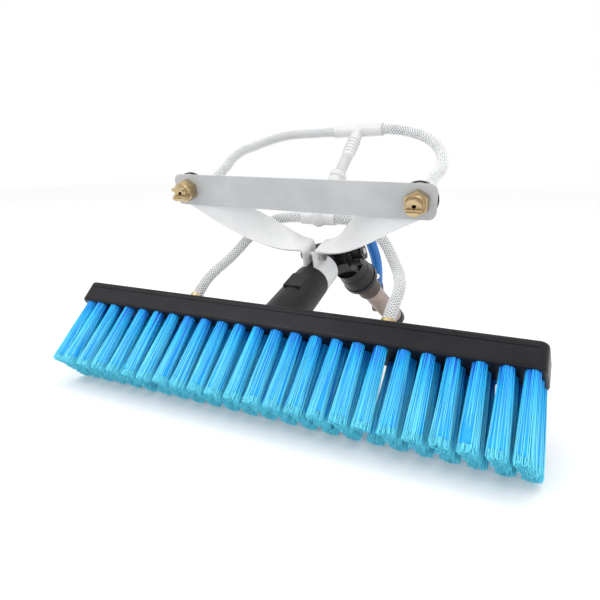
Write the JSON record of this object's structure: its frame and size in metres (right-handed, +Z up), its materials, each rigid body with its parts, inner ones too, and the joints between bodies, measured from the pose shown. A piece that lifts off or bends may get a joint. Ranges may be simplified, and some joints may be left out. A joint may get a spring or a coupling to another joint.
{
  "type": "water-fed wash brush head",
  "caption": "Long straight brush head with blue bristle tufts, a twin-nozzle spray bar on a strip bracket, braided water hoses and an angle knuckle on a short pole section.",
  "frame": {"origin": "on the floor under the middle of the object without its supply hose, as it stands on its bristle tips and the end of its pole", "axes": "+X along the brush, +Y from the bristles towards the pole, +Z up"},
  "size_m": [0.4098, 0.3051, 0.2338],
  "materials": {
    "block_black": "moulded black, slightly sheened and scuffed",
    "bristle_blue": "bright blue nylon bristle",
    "socket_black": "moulded black",
    "bar_grey": "light grey coated strip",
    "arm_white": "white coated strip",
    "brass": "plain turned brass",
    "seal_rubber": "black rubber",
    "fitting_white": "white moulded fitting",
    "hose_clear": "clear braided hose",
    "hose_blue": "smooth blue hose",
    "steel": "zinc plated",
    "knuckle_black": "black glass filled plastic",
    "outer_brown": "dark brown coated tube",
    "pole_bronze": "brown grey anodised",
    "button_silver": "plated button",
    "connector_dark": "dark moulded connector"
  },
  "bodies": {
    "head": {"brush_block": "block_black", "front_tufts": "bristle_blue", "middle_tufts": "bristle_blue", "rear_tufts": "bristle_blue", "handle_socket": "socket_black", "socket_screws": "steel", "nozzle_bar": "bar_grey", "left_arm": "arm_white", "right_arm": "arm_white", "clamp_bolt": "steel", "clamp_washers": "steel", "clamp_nut": "steel", "left_nozzle_seal": "seal_rubber", "right_nozzle_seal": "seal_rubber", "left_hose_tail": "brass", "right_hose_tail": "brass", "left_block_inlet": "brass", "right_block_inlet": "brass", "left_block_jet": "steel", "right_block_jet": "steel", "upper_tee": "fitting_white", "link_hose": "fitting_white", "link_collar": "fitting_white", "lower_cross": "fitting_white", "left_upper_hose": "hose_clear", "right_upper_hose": "hose_clear", "left_lower_hose": "hose_clear", "right_lower_hose": "hose_clear", "supply_hose": "hose_blue", "neck_adaptor": "socket_black", "friction_disc": "seal_rubber", "pivot_bolt": "steel", "pivot_washer": "steel"},
    "pole_arm": {"supply_connector": "connector_dark", "knuckle_head": "knuckle_black", "outer_tube": "outer_brown", "lock_ring": "knuckle_black", "pole_tube": "pole_bronze", "button_spring": "steel", "pole_ferrule": "knuckle_black"},
    "knob": {"pivot_knob": "knuckle_black"},
    "left_nozzle_body": {"left_nozzle": "brass"},
    "right_nozzle_body": {"right_nozzle": "brass"},
    "button": {"spring_button": "button_silver"}
  },
  "joints": [
    {"name": "pole_tilt", "type": "hinge", "parent": "head", "child": "pole_arm", "pos_m": [0, 0.03602, 0.10075], "axis": [0.9613, -0.0769, 0.2647], "range_deg": [-30, 78], "deforming": ["supply_hose"]},
    {"name": "knob_turn", "type": "hinge", "parent": "head", "child": "knob", "pos_m": [0.02884, 0.03371, 0.10869], "axis": [0.9613, -0.0769, 0.2647], "continuous": true},
    {"name": "left_nozzle_turn", "type": "hinge", "parent": "head", "child": "left_nozzle_body", "pos_m": [-0.10347, -0.05826, 0.17096], "axis": [0, 0.9842, 0.1771], "range_deg": [-90, 90]},
    {"name": "right_nozzle_turn", "type": "hinge", "parent": "head", "child": "right_nozzle_body", "pos_m": [0.10347, -0.0574, 0.16616], "axis": [0, 0.9842, 0.1771], "range_deg": [-90, 90]},
    {"name": "button_press", "type": "slide", "parent": "pole_arm", "child": "button", "axis": [0.7036, 0.3226, 0.6331], "range_m": [-0.004, 0], "stiffness_N_per_m": 400, "springref_m": 0.003, "deforming": ["button_spring"]}
  ]
}
